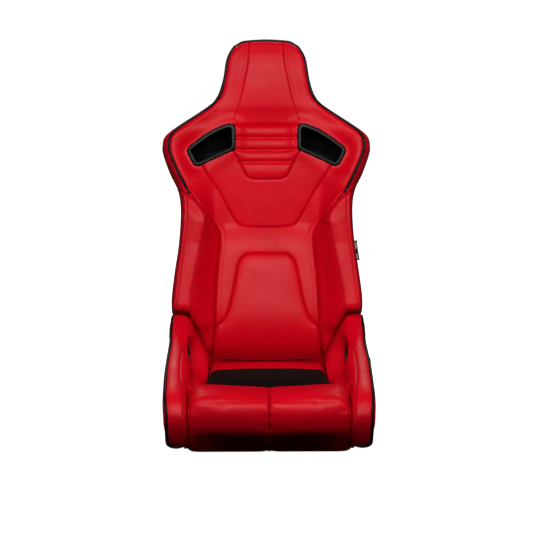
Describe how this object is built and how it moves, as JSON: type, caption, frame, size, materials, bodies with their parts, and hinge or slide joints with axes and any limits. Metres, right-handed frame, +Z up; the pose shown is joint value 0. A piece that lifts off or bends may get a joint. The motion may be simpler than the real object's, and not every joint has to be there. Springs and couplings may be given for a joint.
{
  "type": "racing seat",
  "caption": "Reclining bucket racing seat in red leatherette with black piping, harness slots, deep side bolsters and a rolled front edge on a steel frame.",
  "frame": {"origin": "on the floor under the centre of the whole seat's box, at the undersides of its mounting rails", "axes": "the seat faces -Y, +X is on the right seen from the front, +Z is up"},
  "size_m": [0.569, 0.7834, 0.9272],
  "materials": {
    "red_leatherette": "satin red leatherette with a fine grain",
    "black_seat_fabric": "black suede-like seat panel with a red leatherette strip behind it",
    "black_piping": "satin black vinyl",
    "black_plastic": "satin black moulded plastic",
    "black_painted_steel": "black powder coat",
    "zinc_steel": "zinc-plated steel",
    "label_cloth": "woven tag, left blank"
  },
  "bodies": {
    "base": {"base_bolster_left": "red_leatherette", "base_bolster_right": "red_leatherette", "base_cross_tube_front": "black_painted_steel", "base_cross_tube_rear": "black_painted_steel", "base_piping_left": "black_piping", "base_piping_right": "black_piping", "belt_sleeve_left": "black_plastic", "belt_sleeve_right": "black_plastic", "cover_screw_left_1": "zinc_steel", "cover_screw_left_2": "zinc_steel", "cover_screw_right_1": "zinc_steel", "cover_screw_right_2": "zinc_steel", "front_roll": "red_leatherette", "mounting_rail_left": "black_painted_steel", "mounting_rail_right": "black_painted_steel", "recliner_bracket_left": "black_painted_steel", "recliner_bracket_right": "black_painted_steel", "recliner_cover_left": "black_plastic", "recliner_cover_right": "black_plastic", "recliner_fixed_disc_left": "zinc_steel", "recliner_fixed_disc_right": "zinc_steel", "return_spring_left": "zinc_steel", "return_spring_right": "zinc_steel", "seat_cushion": "black_seat_fabric", "seat_pan": "black_painted_steel"},
    "backrest": {"back_bolster_left": "red_leatherette", "back_bolster_right": "red_leatherette", "back_piping": "black_piping", "back_spring_1": "zinc_steel", "back_spring_2": "zinc_steel", "back_spring_3": "zinc_steel", "backrest_bracket_left": "black_painted_steel", "backrest_bracket_right": "black_painted_steel", "frame_crossbar_lower": "black_painted_steel", "frame_crossbar_middle": "black_painted_steel", "frame_crossbar_upper": "black_painted_steel", "frame_head_hoop": "black_painted_steel", "frame_upright_left": "black_painted_steel", "frame_upright_right": "black_painted_steel", "harness_bezel_left": "black_plastic", "harness_bezel_right": "black_plastic", "headrest_pad": "red_leatherette", "lumbar_pad": "red_leatherette", "rear_bezel_left": "black_plastic", "rear_bezel_right": "black_plastic", "rear_cover": "red_leatherette", "recliner_moving_disc_left": "zinc_steel", "recliner_moving_disc_right": "zinc_steel", "side_tag": "label_cloth", "upper_back_pad": "red_leatherette"},
    "lever": {"recliner_cross_shaft": "zinc_steel", "shaft_clip": "zinc_steel", "recliner_lever": "black_painted_steel", "lever_grip": "black_plastic"}
  },
  "joints": [
    {"name": "backrest_recline", "type": "hinge", "parent": "base", "child": "backrest", "pos_m": [0, 0.1085, 0.11], "axis": [-1, 0, 0], "range_deg": [-2, 55]},
    {"name": "recline_lever", "type": "hinge", "parent": "base", "child": "lever", "pos_m": [0, 0.1085, 0.11], "axis": [-1, 0, 0], "range_deg": [0, 25], "stiffness_Nm_per_rad": 2, "springref_deg": -11.46}
  ]
}
